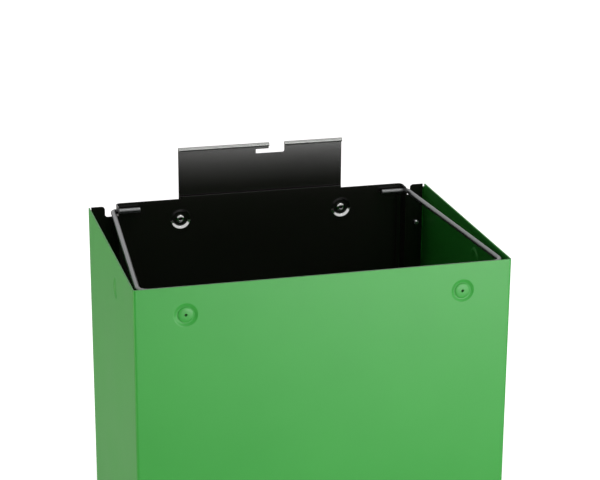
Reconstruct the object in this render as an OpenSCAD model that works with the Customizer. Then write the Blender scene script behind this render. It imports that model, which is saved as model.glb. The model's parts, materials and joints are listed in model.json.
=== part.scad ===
// Steel waste bin: folded shell, riveted rear plate, base pan on rubber feet, and a
// black carrier panel whose ears hold a swinging bag hoop. Millimetres, +Z up, the
// front faces -Y, and the origin is on the ground under the middle of the body.

/* [Body] */
// Width of the body across its side walls
body_w = 420; // [360:1:520]
// Depth of the body from the front wall to the rear flanges
body_d = 300; // [240:1:380]
// Height of the rim above the ground
rim_h = 600; // [420:1:800]
// Thickness of the shell's steel sheet
shell_t = 1.5; // [1:0.1:2]
// Inside radius of the shell's four upright bends
shell_bend_r = 1.5; // [0.6:0.1:3]
// Width of the flange folded in along each rear edge
flange_w = 19; // [16:0.5:24]
// How far the rear flanges stop below the rim
flange_drop = 4; // [2:0.5:10]

/* [Dimples] */
// Rim of a dimple pressed into the shell
dimple_d = 27; // [25:0.5:34]
// Flat floor of a dimple pressed into the shell
dimple_floor_d = 18.5; // [18:0.5:21]
// How deep the shell's dimples are pressed in
dimple_depth = 1.4; // [1:0.1:3]
// Depth of the front dimples' centres below the rim
front_dimple_drop = 32; // [26:0.5:50]
// Distance of the front dimples' centres from the side walls
front_dimple_inset = 56; // [40:0.5:80]
// Depth of the side dimples' centres below the rim
side_dimple_drop = 36; // [26:0.5:60]
// Distance of the side dimples' centres from the front wall
side_dimple_inset = 112; // [60:0.5:160]

/* [Rear plate] */
// Thickness of the black rear plate
plate_t = 1.5; // [1:0.1:2]
// Gap between the rear plate's edges and the shell's bends
plate_gap = 0.3; // [0.1:0.1:1]
// How far the plate is cut down below the rim, between its tab and its ears
notch_drop = 13; // [12:0.5:24]
// Gap between the hoop's arms and the ears left beside the cuts
notch_gap = 3.3; // [2:0.1:6]
// Radius on the upper inner corner of each ear
plate_ear_r = 4; // [1:0.5:6]
// Radius in the lower corners of the cuts
notch_r = 3; // [1:0.5:5]

/* [Carrier panel] */
// Thickness of the carrier's sheet
carrier_t = 1.5; // [1:0.1:2]
// Distance from each side wall's inside to the carrier's ear
carrier_side_gap = 30.2; // [28:0.1:36]
// Height of the carrier's top edge above the rim
carrier_rise = 4; // [2:0.5:8]
// Width of the neck, the raised middle of the carrier's top edge
neck_w = 200; // [150:1:220]
// Height of the neck above the rest of the top edge
neck_rise = 2.7; // [1:0.1:6]
// How far the carrier reaches below the rim
carrier_drop = 160; // [90:1:220]
// Inside radius of the bends between the panel and its ears
carrier_bend_r = 4.5; // [3:0.1:5]
// Depth of the ears, from the back of the panel to their front edge
ear_depth = 22; // [18:0.5:30]
// Radius on the ears' front corners
ear_corner_r = 6; // [2:0.5:7]
// Distance between the two fixing recesses
recess_spacing = 200; // [160:1:220]
// Depth of the recesses' centres below the rim
recess_drop = 21; // [18:0.5:40]
// Rim of a fixing recess
recess_d = 25; // [20:0.5:30]
// Flat floor of a fixing recess
recess_floor_d = 16; // [14:0.5:18]
// How deep the fixing recesses are pressed towards the rear plate
recess_depth = 2.5; // [1:0.1:3]

/* [Latch tab] */
// Width of the tab above the rear plate
tab_w = 202; // [150:1:220]
// Height of the tab's rolled top above the rim
tab_rise = 66.5; // [50:0.5:90]
// Outside diameter of the rolled top edge
roll_d = 5; // [4.6:0.1:7]
// How far round the top edge is rolled, in degrees
roll_turn = 255; // [200:1:265]
// Left end of the latch slot, from the tab's middle
slot_left = -6; // [-30:0.5:0]
// Right end of the latch slot, from the tab's middle
slot_right = 29.5; // [25:0.5:45]
// Left end of the slot's mouth, from the tab's middle
mouth_left = 10; // [6:0.1:18]
// Height of the hook strip between the slot and the roll
hook_h = 3; // [2:0.1:6]
// Height of the latch slot
slot_h = 5.4; // [5:0.1:10]
// Radius at the slot's lower right corner
slot_r = 2; // [0.5:0.1:2.4]

/* [Bag hoop] */
// Diameter of the hoop's wire
wire_d = 6; // [4.5:0.1:7]
// Running clearance round the wire in the ears, on the radius
hinge_clear = 0.08; // [0.02:0.01:0.1]
// Distance from the carrier panel's face to the hinge line
pivot_from_panel = 6.7; // [6.2:0.1:9]
// Depth of the hinge line below the rim
pivot_drop = 3.5; // [2:0.1:6]
// Depth of the hoop's front run below the rim
hoop_front_drop = 5; // [4:0.1:8]
// Gap between the wire and the outside of each ear
hoop_ear_gap = 2.8; // [1.5:0.1:4]
// Gap between the wire and the side walls at the front
hoop_side_gap = 2.7; // [1.5:0.1:6]
// Gap between the wire and the front wall
hoop_front_gap = 2.5; // [1.5:0.1:6]
// Length of wire inside each ear
hoop_end_l = 28; // [12:0.5:34]
// Bend radius beside the ears, at the wire's middle
hoop_rear_r = 6; // [5:0.5:8]
// Bend radius at the front corners, at the wire's middle
hoop_front_r = 12; // [8:0.5:25]

/* [Hoop rests] */
// Width of each hoop rest
rest_w = 30; // [22:0.5:40]
// Thickness of the hoop rests
rest_t = 1.5; // [1:0.1:2]
// How far the shelf reaches in from the back of its leg
rest_reach = 13; // [11:0.5:18]
// How far the leg reaches below the dimple's centre
rest_leg = 11; // [8:0.5:16]
// Gap left under the resting wire
rest_gap = 0.3; // [0.1:0.1:0.5]
// Inside radius of the bend under the shelf
rest_bend_r = 1; // [0.5:0.1:2]

/* [Base] */
// Height of the rubber feet
foot_h = 10; // [8:0.5:20]
// Thickness of rubber between a foot screw's head and the pan
foot_grip = 5; // [3:0.5:5]
// Diameter of a foot where it meets the pan
foot_d = 34; // [26:0.5:44]
// Taper of a foot towards the ground, on the radius
foot_taper = 2; // [0.5:0.1:4]
// Diameter of the pocket for a screw's head under a foot
foot_pocket_d = 12; // [10:0.5:16]
// Distance of the feet's centres from the body's outside
foot_inset = 38; // [30:0.5:60]
// Thickness of the base pan
pan_t = 1.5; // [1:0.1:2]
// Height of the pan's walls
pan_wall_h = 30; // [24:0.5:50]
// Gap between the pan and what it fits in
pan_gap = 0.2; // [0.1:0.05:0.4]
// Inside radius of the pan's bends
pan_bend_r = 2; // [1:0.1:4]
// Length cut away at each end of a pan wall
pan_corner = 6; // [4:0.5:12]
// Distance between the ground fixing holes across the bin
anchor_w = 240; // [180:1:280]
// Distance between the ground fixing holes from front to back
anchor_d = 140; // [100:1:160]
// Diameter of the ground fixing holes
anchor_hole_d = 9; // [7:0.5:12]
// Diameter of the drain holes
drain_d = 8; // [5:0.5:12]
// Distance between the drain holes
drain_pitch = 60; // [40:1:70]

/* [Fasteners] */
// Diameter of the carrier screws
screw_d = 6; // [5:0.5:6]
// Diameter of the carrier screws' button heads
screw_head_d = 10.5; // [9:0.1:12]
// Height of the button heads
screw_head_h = 3.3; // [2:0.1:4]
// Width across the flats of the screws' sockets
socket_w = 4; // [3:0.5:5]
// Side of the square nuts behind the rear plate
nut_w = 10; // [9:0.5:13]
// Height of the square nuts
nut_h = 5; // [3:0.5:6]
// Clearance round screws and rivets, on the radius
hole_clear = 0.1; // [0.05:0.01:0.2]
// Clearance round the screws in their nuts, on the radius
thread_clear = 0.05; // [0.02:0.01:0.1]
// Shank diameter of the small blind rivets
rivet_d = 4; // [3:0.1:4.8]
// Head diameter of the small blind rivets
rivet_head_d = 8; // [7:0.1:10]
// Head height of the small blind rivets
rivet_head_h = 1.3; // [0.8:0.1:2]
// Shank diameter of the rivets in the front dimples
broad_rivet_d = 4.8; // [4:0.1:5]
// Head diameter of the rivets in the front dimples
broad_head_d = 17.5; // [12:0.1:17.8]
// Head height of the rivets in the front dimples
broad_head_h = 1.4; // [1:0.1:2]
// Diameter of the hole left by a rivet's mandrel
mandrel_d = 3; // [2:0.1:3.2]
// Depth of the first rear rivet below the rim
rear_rivet_drop = 49; // [40:0.5:70]
// Height of the last rear rivet above the ground
rear_rivet_foot = 70; // [60:0.5:100]
// Number of rivets down each rear flange
rear_rivet_count = 5; // [3:1:7]
// Height of the base rivets above the pan's floor
base_rivet_rise = 17; // [12:0.5:20]
// Distance of the outer front and rear base rivets from the pan's sides
base_rivet_side = 60; // [40:1:90]
// Distance of the side base rivets from the pan's front and rear
base_rivet_end = 50; // [35:1:80]
// Diameter of the foot screws
foot_screw_d = 5; // [4:0.5:5]
// Outside diameter of the foot washers
washer_d = 10; // [9:0.5:14]
// Thickness of the foot washers
washer_t = 1; // [0.6:0.1:1.6]
// Width across the flats of the foot nuts
foot_nut_w = 8; // [7:0.5:9]
// Height of the foot nuts
foot_nut_h = 4; // [3:0.1:5]
// How far the screws reach past their nuts
screw_past_nut = 1; // [0:0.5:3]

/* [Hidden] */
$fn = 64;
// Overlap that lets two shapes of one piece join, and lets a cut pass right through
eps = 0.5;
// Number of short cones that make up a pressed dish's slope
press_steps = 8;
// Share of that slope which is rounded at the rim, and again at the floor
press_ease = 0.25;

// Places of the main faces
front_y = -body_d / 2;
back_y = body_d / 2;
inner_x = body_w / 2 - shell_t;
inner_front_y = front_y + shell_t;
plate_back_y = back_y - shell_t;
plate_front_y = plate_back_y - plate_t;
shell_outer_r = shell_bend_r + shell_t;
shell_h = rim_h - foot_h;

// The carrier stands off the rear plate by the depth of its recesses
carrier_back_y = plate_front_y - recess_depth;
carrier_front_y = carrier_back_y - carrier_t;
carrier_x = inner_x - carrier_side_gap;
carrier_outer_r = carrier_bend_r + carrier_t;
carrier_top_z = rim_h + carrier_rise;
carrier_bottom_z = rim_h - carrier_drop;
ear_front_y = carrier_back_y - ear_depth;

// The latch slot hangs from the tab's rolled top edge
tab_top_z = rim_h + tab_rise;
roll_r = roll_d / 2;
slot_top_z = tab_top_z - roll_d - hook_h;
slot_bottom_z = slot_top_z - slot_h;

// The hoop turns in the ears and passes between them and the side walls
wire_r = wire_d / 2;
pivot_y = carrier_front_y - pivot_from_panel;
pivot_z = rim_h - pivot_drop;
hoop_end_x = carrier_x - hoop_end_l;
hoop_rear_x = carrier_x + hoop_ear_gap + wire_r;
hoop_front_x = inner_x - hoop_side_gap - wire_r;
hoop_front_y = inner_front_y + hoop_front_gap + wire_r;
hoop_front_z = rim_h - hoop_front_drop;
// The ears of the rear plate leave room for the arms to swing over to the back
notch_x = hoop_rear_x + wire_r + notch_gap;
plate_x = inner_x - shell_bend_r - plate_gap;
recess_z = rim_h - recess_drop;

// Dimples and the hoop rests behind the front ones
front_dimple_x = body_w / 2 - front_dimple_inset;
front_dimple_z = rim_h - front_dimple_drop;
side_dimple_y = front_y + side_dimple_inset;
side_dimple_z = rim_h - side_dimple_drop;
rest_front_y = inner_front_y + dimple_depth;
rest_top_z = hoop_front_z - wire_r - rest_gap;

// Base pan and what fastens it
pan_x = inner_x - pan_gap;
pan_front_y = inner_front_y + pan_gap;
pan_back_y = plate_front_y - pan_gap;
pan_outer_r = pan_bend_r + pan_t;
pan_mid_y = (pan_front_y + pan_back_y) / 2;
base_rivet_z = foot_h + pan_t + base_rivet_rise;
foot_x = body_w / 2 - foot_inset;
foot_y = body_d / 2 - foot_inset;
foot_seat_z = foot_h - foot_grip;
foot_screw_l = foot_grip + pan_t + washer_t + foot_nut_h + screw_past_nut;
rear_rivet_x = body_w / 2 - (flange_w + shell_outer_r) / 2;
rear_rivet_step = (rim_h - rear_rivet_drop - rear_rivet_foot) / (rear_rivet_count - 1);
rear_rivet_zs = [for (i = [0:rear_rivet_count - 1]) rear_rivet_foot + i * rear_rivet_step];
pan_rivet_x = pan_x - base_rivet_side;
pan_rivet_y = (pan_back_y - pan_front_y) / 2 - base_rivet_end;

// Quarter of a bent sheet seen end on, in the +X +Y quadrant
module bend(inside_r, thick) {
    intersection() {
        difference() {
            circle(r = inside_r + thick);
            circle(r = inside_r);
        }
        square(inside_r + thick);
    }
}

// Waste left outside a rounded corner whose point is at the origin, towards +X +Y
module corner_waste(r) {
    difference() {
        translate([-eps, -eps])
            square(r + eps);
        translate([r, r])
            circle(r = r);
    }
}

// Runs its children along X, with their first axis as Y and their second as Z
module along_x(x0, x1) {
    translate([x0, 0, 0])
        rotate([90, 0, 90])
            linear_extrude(height = x1 - x0)
                children();
}

// Makes a mirrored pair, left and right
module both_sides() {
    children();
    mirror([1, 0, 0])
        children();
}

// How far down a dish's slope lies, for a part of the way in from its rim
function press_fall(part) =
    part < press_ease ? part * part / (2 * press_ease * (1 - press_ease)) :
    part > 1 - press_ease ? 1 - press_fall(1 - part) :
    (part - press_ease / 2) / (1 - press_ease);

// Dish with rounded shoulders, pressed into a sheet from its face at z = 0 towards +Z.
// It starts just before that face, so that no skin is left across its mouth
module press(rim_d, floor_d, depth) {
    slope = [
        for (i = [0:press_steps])
            let (part = i / press_steps)
            [(rim_d + (floor_d - rim_d) * part) / 2, depth * press_fall(part)]
    ];
    rotate_extrude()
        polygon(concat([[0, -eps], [rim_d / 2, -eps]], slope, [[0, depth]]));
}

// Points the +Z axis of its children backwards, along +Y
module facing_back() {
    rotate([-90, 0, 0])
        children();
}

// Points the +Z axis of its children forwards, along -Y
module facing_front() {
    rotate([90, 0, 0])
        children();
}

// Blind rivet, head outside at -Z and its set end at +Z past the grip
module blind_rivet(d, head_d, head_h, grip) {
    set_d = d * 1.55;
    set_h = d * 0.9;
    difference() {
        rotate_extrude()
            polygon([
                [0, -head_h], [head_d * 0.3, -head_h], [head_d * 0.44, -head_h * 0.65],
                [head_d / 2, -head_h * 0.2], [head_d / 2, 0], [d / 2, 0], [d / 2, grip],
                [set_d / 2, grip], [set_d / 2, grip + set_h * 0.6],
                [set_d * 0.3, grip + set_h], [0, grip + set_h]
            ]);
        translate([0, 0, -head_h - eps])
            cylinder(h = head_h + grip + eps, d = min(mandrel_d, d * 0.65));
    }
}

// One folded sheet: front wall, side walls and the two rear flanges
module shell() {
    color("forestgreen")
    difference() {
        union() {
            translate([0, 0, foot_h])
                linear_extrude(height = shell_h)
                    shell_walls();
            translate([0, 0, foot_h])
                linear_extrude(height = shell_h - flange_drop)
                    both_sides()
                        rear_flange();
            both_sides()
                shell_dimples(shell_t);
        }
        both_sides() {
            shell_dimples(0);
            rear_rivet_holes();
            translate([front_dimple_x, front_y - eps, front_dimple_z])
                facing_back()
                    cylinder(h = dimple_depth + shell_t + 2 * eps, r = broad_rivet_d / 2 + hole_clear);
        }
        base_rivet_holes();
    }
}

// Plan of the front wall, its two bends and the side walls
module shell_walls() {
    translate([-body_w / 2 + shell_outer_r, front_y])
        square([body_w - 2 * shell_outer_r, shell_t]);
    both_sides() {
        translate([body_w / 2 - shell_outer_r, front_y + shell_outer_r])
            mirror([0, 1])
                bend(shell_bend_r, shell_t);
        translate([inner_x, front_y + shell_outer_r])
            square([shell_t, body_d - 2 * shell_outer_r]);
    }
}

// Plan of one rear bend and its flange
module rear_flange() {
    translate([body_w / 2 - shell_outer_r, back_y - shell_outer_r])
        bend(shell_bend_r, shell_t);
    translate([body_w / 2 - flange_w, plate_back_y])
        square([flange_w - shell_outer_r, shell_t]);
}

// Dishes of one side's dimples, moved inwards by a sheet to make their backs
module shell_dimples(inwards) {
    translate([front_dimple_x, front_y + inwards, front_dimple_z])
        facing_back()
            press(dimple_d, dimple_floor_d, dimple_depth);
    translate([body_w / 2 - inwards, side_dimple_y, side_dimple_z])
        rotate([0, -90, 0])
            press(dimple_d, dimple_floor_d, dimple_depth);
}

module rear_rivet_holes() {
    for (z = rear_rivet_zs)
        translate([rear_rivet_x, plate_front_y - eps, z])
            facing_back()
                cylinder(h = plate_t + shell_t + 2 * eps, r = rivet_d / 2 + hole_clear);
}

// Carries its children to each rivet that holds the pan, +Z pointing inwards
module at_base_rivets() {
    for (x = [-pan_rivet_x, 0, pan_rivet_x]) {
        translate([x, front_y, base_rivet_z])
            facing_back()
                children();
        translate([x, plate_back_y, base_rivet_z])
            facing_front()
                children();
    }
    for (side = [-1, 1])
        for (y = [pan_mid_y - pan_rivet_y, pan_mid_y + pan_rivet_y])
            translate([side * body_w / 2, y, base_rivet_z])
                rotate([0, -side * 90, 0])
                    children();
}

module base_rivet_holes() {
    at_base_rivets()
        translate([0, 0, -eps])
            cylinder(h = shell_t + pan_gap + pan_t + 2 * eps, r = rivet_d / 2 + hole_clear);
}

// Plate in front of the rear flanges, with a rolled latch tab standing in its middle
module rear_plate() {
    color([0.10, 0.11, 0.10])
    difference() {
        union() {
            translate([0, plate_back_y, 0])
                facing_front()
                    linear_extrude(height = plate_t)
                        rear_plate_outline();
            along_x(-tab_w / 2, tab_w / 2)
                translate([plate_back_y - roll_r, tab_top_z - roll_r])
                    rolled_edge();
        }
        latch_slot();
        both_sides() {
            rear_rivet_holes();
            translate([recess_spacing / 2, plate_front_y - eps, recess_z])
                facing_back()
                    cylinder(h = plate_t + 2 * eps, r = screw_d / 2 + hole_clear);
        }
        base_rivet_holes();
    }
}

// Front view of the rear plate and its tab up to the roll, with height as the second axis
module rear_plate_outline() {
    difference() {
        union() {
            translate([-plate_x, foot_h])
                square([2 * plate_x, shell_h]);
            translate([-tab_w / 2, rim_h - eps])
                square([tab_w, tab_rise - roll_r + eps]);
        }
        both_sides() {
            plate_notch();
            translate([notch_x, rim_h])
                mirror([0, 1])
                    corner_waste(plate_ear_r);
        }
    }
}

// Cut between the tab and the right ear, where a hoop's arm swings over to the back
module plate_notch() {
    difference() {
        translate([tab_w / 2, rim_h - notch_drop])
            square([notch_x - tab_w / 2, notch_drop + eps]);
        translate([tab_w / 2, rim_h - notch_drop])
            corner_waste(notch_r);
        translate([notch_x, rim_h - notch_drop])
            mirror([1, 0])
                corner_waste(notch_r);
    }
}

// Tray with four upturned walls, drain holes and ground fixing holes
module base_pan() {
    color([0.62, 0.64, 0.65])
    difference() {
        union() {
            translate([-pan_x + pan_outer_r, pan_front_y + pan_outer_r, foot_h])
                cube([2 * (pan_x - pan_outer_r), pan_back_y - pan_front_y - 2 * pan_outer_r, pan_t]);
            both_sides()
                translate([pan_x, 0, foot_h])
                    rotate([0, 0, 90])
                        pan_wall(pan_front_y + pan_corner, pan_back_y - pan_corner);
            translate([0, pan_back_y, foot_h])
                rotate([0, 0, 180])
                    pan_wall(-pan_x + pan_corner, pan_x - pan_corner);
            translate([0, pan_front_y, foot_h])
                pan_wall(-pan_x + pan_corner, pan_x - pan_corner);
        }
        base_rivet_holes();
        both_sides()
            for (y = [-1, 1]) {
                translate([foot_x, y * foot_y, foot_h - eps])
                    cylinder(h = pan_t + 2 * eps, r = foot_screw_d / 2 + hole_clear);
                translate([anchor_w / 2, y * anchor_d / 2, foot_h - eps])
                    cylinder(h = pan_t + 2 * eps, d = anchor_hole_d);
            }
        for (x = [-1, 0, 1])
            translate([x * drain_pitch, 0, foot_h - eps])
                cylinder(h = pan_t + 2 * eps, d = drain_d);
    }
}

// Upturned wall of the pan with its bend, outside face at y = 0 and the pan towards +Y
module pan_wall(x0, x1) {
    along_x(x0, x1) {
        translate([pan_outer_r, pan_outer_r])
            rotate(180)
                bend(pan_bend_r, pan_t);
        translate([0, pan_outer_r])
            square([pan_t, pan_wall_h - pan_outer_r]);
        translate([pan_outer_r, 0])
            square([pan_corner, pan_t]);
    }
}

// Panel with forward ears, a low neck in its top edge and two pressed recesses
module carrier_panel() {
    color([0.09, 0.09, 0.09])
    difference() {
        union() {
            carrier_sheet();
            translate([-neck_w / 2, carrier_front_y, carrier_top_z - eps])
                cube([neck_w, carrier_t, neck_rise + eps]);
            both_sides()
                carrier_recess(carrier_t);
        }
        both_sides() {
            carrier_recess(0);
            translate([recess_spacing / 2, carrier_front_y, recess_z])
                facing_back()
                    cylinder(h = recess_depth + carrier_t + eps, r = screw_d / 2 + hole_clear);
            translate([carrier_x - carrier_outer_r, pivot_y, pivot_z])
                rotate([0, 90, 0])
                    cylinder(h = carrier_outer_r + eps, r = wire_r + hinge_clear);
        }
    }
}

// The panel below its neck and its ears, with the ears' front corners rounded
module carrier_sheet() {
    difference() {
        translate([0, 0, carrier_bottom_z])
            linear_extrude(height = carrier_top_z - carrier_bottom_z)
                carrier_plan();
        both_sides()
            along_x(carrier_x - carrier_t - eps, carrier_x + eps) {
                translate([ear_front_y, carrier_bottom_z])
                    corner_waste(ear_corner_r);
                translate([ear_front_y, carrier_top_z])
                    mirror([0, 1])
                        corner_waste(ear_corner_r);
            }
    }
}

// Plan of the panel, its two bends and its ears
module carrier_plan() {
    translate([-carrier_x + carrier_outer_r, carrier_front_y])
        square([2 * (carrier_x - carrier_outer_r), carrier_t]);
    both_sides() {
        translate([carrier_x - carrier_outer_r, carrier_back_y - carrier_outer_r])
            bend(carrier_bend_r, carrier_t);
        translate([carrier_x - carrier_t, ear_front_y])
            square([carrier_t, ear_depth - carrier_outer_r]);
    }
}

// Dish of the right recess, moved backwards by a sheet to make its back
module carrier_recess(backwards) {
    translate([recess_spacing / 2, carrier_front_y + backwards, recess_z])
        facing_back()
            press(recess_d, recess_floor_d, recess_depth);
}

// Open roll seen end on: it starts upwards at +X and turns over towards -X
module rolled_edge() {
    difference() {
        circle(r = roll_r);
        circle(r = roll_r - plate_t);
        polygon([
            [0, 0], roll_d * [cos(roll_turn), sin(roll_turn)],
            roll_d * [cos(315), sin(315)], [roll_d, 0]
        ]);
    }
}

// L-shaped slot: a level run under the hook strip and a mouth up through the roll
module latch_slot() {
    cut_y = plate_back_y - roll_d - eps;
    cut_l = roll_d + 2 * eps;
    translate([0, cut_y + cut_l, 0])
        facing_front()
            linear_extrude(height = cut_l) {
                difference() {
                    translate([slot_left, slot_bottom_z])
                        square([slot_right - slot_left, slot_h]);
                    translate([slot_right, slot_bottom_z])
                        mirror([1, 0])
                            corner_waste(slot_r);
                }
                translate([mouth_left, slot_bottom_z + slot_h / 2])
                    square([slot_right - mouth_left, tab_top_z - slot_bottom_z]);
            }
}

// Corners of the hoop's right half seen from above, from its end to its front run
hoop_corners = [
    [hoop_end_x, 0], [hoop_rear_x, 0],
    [hoop_front_x, hoop_front_y - pivot_y], [0, hoop_front_y - pivot_y]
];
hoop_radii = [0, hoop_rear_r, hoop_front_r, 0];
// Bending draws the wire a little thinner, and each straight run reaches into its bends
bend_thinning = 0.06;
run_overlap = 0.3;

function unit(v) = v / norm(v);
// Length of straight wire that a rounded corner takes up on each side
function corner_cut(i) =
    let (a = unit(hoop_corners[i] - hoop_corners[i - 1]))
    let (b = unit(hoop_corners[i + 1] - hoop_corners[i]))
    hoop_radii[i] * tan(acos(a * b) / 2);

// Wire bent to a frame that is open at the hinge, laid from the hinge to its rests
module bag_hoop() {
    color([0.72, 0.73, 0.74])
    translate([0, pivot_y, pivot_z])
        rotate([atan((pivot_z - hoop_front_z) / (pivot_y - hoop_front_y)), 0, 0]) {
            both_sides() {
                hoop_run(0, 0, corner_cut(1) - run_overlap);
                hoop_run(1, corner_cut(1) - run_overlap, corner_cut(2) - run_overlap);
                hoop_bend(1);
                hoop_bend(2);
            }
            front_run();
        }
}

// Straight stretch of wire between two corners, shortened at its start and its stop
module hoop_run(i, start, stop) {
    a = hoop_corners[i];
    b = hoop_corners[i + 1];
    along = unit(b - a);
    from = a + along * start;
    translate([from[0], from[1], 0])
        rotate([0, 0, atan2(along[1], along[0])])
            rotate([0, 90, 0])
                cylinder(h = norm(b - a) - start - stop, r = wire_r);
}

// Straight wire behind the front wall, from one front bend to the other
module front_run() {
    half_l = hoop_front_x - corner_cut(2) + run_overlap;
    translate([-half_l, hoop_front_y - pivot_y, 0])
        rotate([0, 90, 0])
            cylinder(h = 2 * half_l, r = wire_r);
}

// Bend at one corner, turning clockwise seen from above
module hoop_bend(i) {
    a = unit(hoop_corners[i] - hoop_corners[i - 1]);
    b = unit(hoop_corners[i + 1] - hoop_corners[i]);
    turn = acos(a * b);
    from = hoop_corners[i] - a * corner_cut(i);
    centre = from + hoop_radii[i] * [a[1], -a[0]];
    translate([centre[0], centre[1], 0])
        rotate([0, 0, atan2(a[1], a[0]) + 90 - turn])
            rotate_extrude(angle = turn)
                translate([hoop_radii[i], 0])
                    circle(r = wire_r - bend_thinning);
}

// Angle riveted behind a front dimple, its shelf just under the wire
module hoop_rest() {
    rest_outer_r = rest_bend_r + rest_t;
    leg_bottom_z = front_dimple_z - rest_leg;
    difference() {
        along_x(front_dimple_x - rest_w / 2, front_dimple_x + rest_w / 2) {
            translate([rest_front_y, leg_bottom_z])
                square([rest_t, rest_top_z - rest_outer_r - leg_bottom_z]);
            translate([rest_front_y + rest_outer_r, rest_top_z - rest_outer_r])
                mirror([1, 0])
                    bend(rest_bend_r, rest_t);
            translate([rest_front_y + rest_outer_r, rest_top_z - rest_t])
                square([rest_reach - rest_outer_r, rest_t]);
        }
        translate([front_dimple_x, rest_front_y - eps, front_dimple_z])
            facing_back()
                cylinder(h = rest_t + 2 * eps, r = broad_rivet_d / 2 + hole_clear);
    }
}

module hoop_rest_left() {
    color([0.66, 0.68, 0.70])
    mirror([1, 0, 0])
        hoop_rest();
}

module hoop_rest_right() {
    color([0.66, 0.68, 0.70])
    hoop_rest();
}

// Broad green rivets sunk in the front dimples, through shell and rest
module rest_rivets() {
    color("forestgreen")
    both_sides()
        translate([front_dimple_x, front_y + dimple_depth, front_dimple_z])
            facing_back()
                blind_rivet(broad_rivet_d, broad_head_d, broad_head_h, shell_t + rest_t);
}

// Button head screws with hexagon sockets, seated on the recess floors
module carrier_screws() {
    shank_l = carrier_t + plate_t + nut_h + screw_past_nut;
    color([0.55, 0.56, 0.58])
    both_sides()
        translate([recess_spacing / 2, carrier_front_y + recess_depth, recess_z])
            facing_back()
                difference() {
                    rotate_extrude()
                        polygon([
                            [0, -screw_head_h], [screw_head_d * 0.26, -screw_head_h],
                            [screw_head_d * 0.38, -screw_head_h * 0.8],
                            [screw_head_d * 0.46, -screw_head_h * 0.48],
                            [screw_head_d * 0.5, -screw_head_h * 0.1],
                            [screw_head_d * 0.5, 0], [screw_d / 2, 0],
                            [screw_d / 2, shank_l], [0, shank_l]
                        ]);
                    translate([0, 0, -screw_head_h - eps])
                        cylinder(h = screw_head_h * 0.65 + eps, d = socket_w / cos(30), $fn = 6);
                }
}

// Square nuts welded to the back of the rear plate
module carrier_nuts() {
    color([0.55, 0.56, 0.58])
    both_sides()
        translate([recess_spacing / 2, plate_back_y, recess_z])
            facing_back()
                difference() {
                    translate([-nut_w / 2, -nut_w / 2, 0])
                        cube([nut_w, nut_w, nut_h]);
                    translate([0, 0, -eps])
                        cylinder(h = nut_h + 2 * eps, r = screw_d / 2 + thread_clear);
                }
}

// Column of blind rivets through one rear flange and the rear plate
module rear_rivet_column() {
    color([0.78, 0.79, 0.80])
    for (z = rear_rivet_zs)
        translate([rear_rivet_x, back_y, z])
            facing_front()
                blind_rivet(rivet_d, rivet_head_d, rivet_head_h, shell_t + plate_t);
}

module rear_rivets_left() {
    mirror([1, 0, 0])
        rear_rivet_column();
}

module rear_rivets_right() {
    rear_rivet_column();
}

// Blind rivets that hold the pan in the shell and to the rear plate
module base_rivets() {
    color([0.78, 0.79, 0.80])
    at_base_rivets()
        blind_rivet(rivet_d, rivet_head_d, rivet_head_h, shell_t + pan_gap + pan_t);
}

// Rubber foot with a counterbore for its screw, on the side given by two signs
module foot(side, end) {
    color([0.13, 0.13, 0.13])
    translate([side * foot_x, end * foot_y, 0])
        difference() {
            cylinder(h = foot_h, d1 = foot_d - 2 * foot_taper, d2 = foot_d);
            translate([0, 0, -eps])
                cylinder(h = foot_seat_z + eps, d = foot_pocket_d);
            translate([0, 0, -eps])
                cylinder(h = foot_h + 2 * eps, r = foot_screw_d / 2 + hole_clear);
        }
}

module foot_front_left() {
    foot(-1, -1);
}

module foot_front_right() {
    foot(1, -1);
}

module foot_rear_left() {
    foot(-1, 1);
}

module foot_rear_right() {
    foot(1, 1);
}

// Carries its children to the four feet
module at_feet(z) {
    for (x = [-1, 1])
        for (y = [-1, 1])
            translate([x * foot_x, y * foot_y, z])
                children();
}

// Pan head screws up through the feet and the pan
module foot_screws() {
    head_h = foot_screw_d * 0.6;
    color([0.72, 0.73, 0.74])
    at_feet(foot_seat_z)
        union() {
            cylinder(h = foot_screw_l, d = foot_screw_d);
            translate([0, 0, -head_h])
                cylinder(h = head_h, d1 = foot_screw_d * 1.5, d2 = foot_screw_d * 1.9);
        }
}

module foot_washers() {
    color([0.72, 0.73, 0.74])
    at_feet(foot_h + pan_t)
        difference() {
            cylinder(h = washer_t, d = washer_d);
            translate([0, 0, -eps])
                cylinder(h = washer_t + 2 * eps, r = foot_screw_d / 2 + hole_clear);
        }
}

module foot_nuts() {
    color([0.72, 0.73, 0.74])
    at_feet(foot_h + pan_t + washer_t)
        difference() {
            cylinder(h = foot_nut_h, d = foot_nut_w / cos(30), $fn = 6);
            translate([0, 0, -eps])
                cylinder(h = foot_nut_h + 2 * eps, r = foot_screw_d / 2 + thread_clear);
        }
}

shell();
rear_plate();
base_pan();
carrier_panel();
bag_hoop();
hoop_rest_left();
hoop_rest_right();
rest_rivets();
carrier_screws();
carrier_nuts();
rear_rivets_left();
rear_rivets_right();
base_rivets();
foot_front_left();
foot_front_right();
foot_rear_left();
foot_rear_right();
foot_screws();
foot_washers();
foot_nuts();
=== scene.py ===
"""Looks of a steel waste bin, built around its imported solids.

The folded sheets and the rubber feet are dressed where they stand. What is turned, or bent
from wire, is made here: the swinging bag hoop, the blind rivets, the screws, the nuts, the
washers, the weld tacks and the rings in the recesses. Sizes are in millimetres, and those
of the studio's floor and lamps in metres. The frame is in metres with +Z up, the front
towards -Y and the origin on the ground under the body.
"""

import json
import logging
import math
from dataclasses import dataclass, field, replace
from enum import Enum

import bmesh
import bpy
from bpy.types import Material, Mesh, Node, NodeSocket, NodeTree, Object, World
from mathutils import Matrix, Vector

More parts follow.
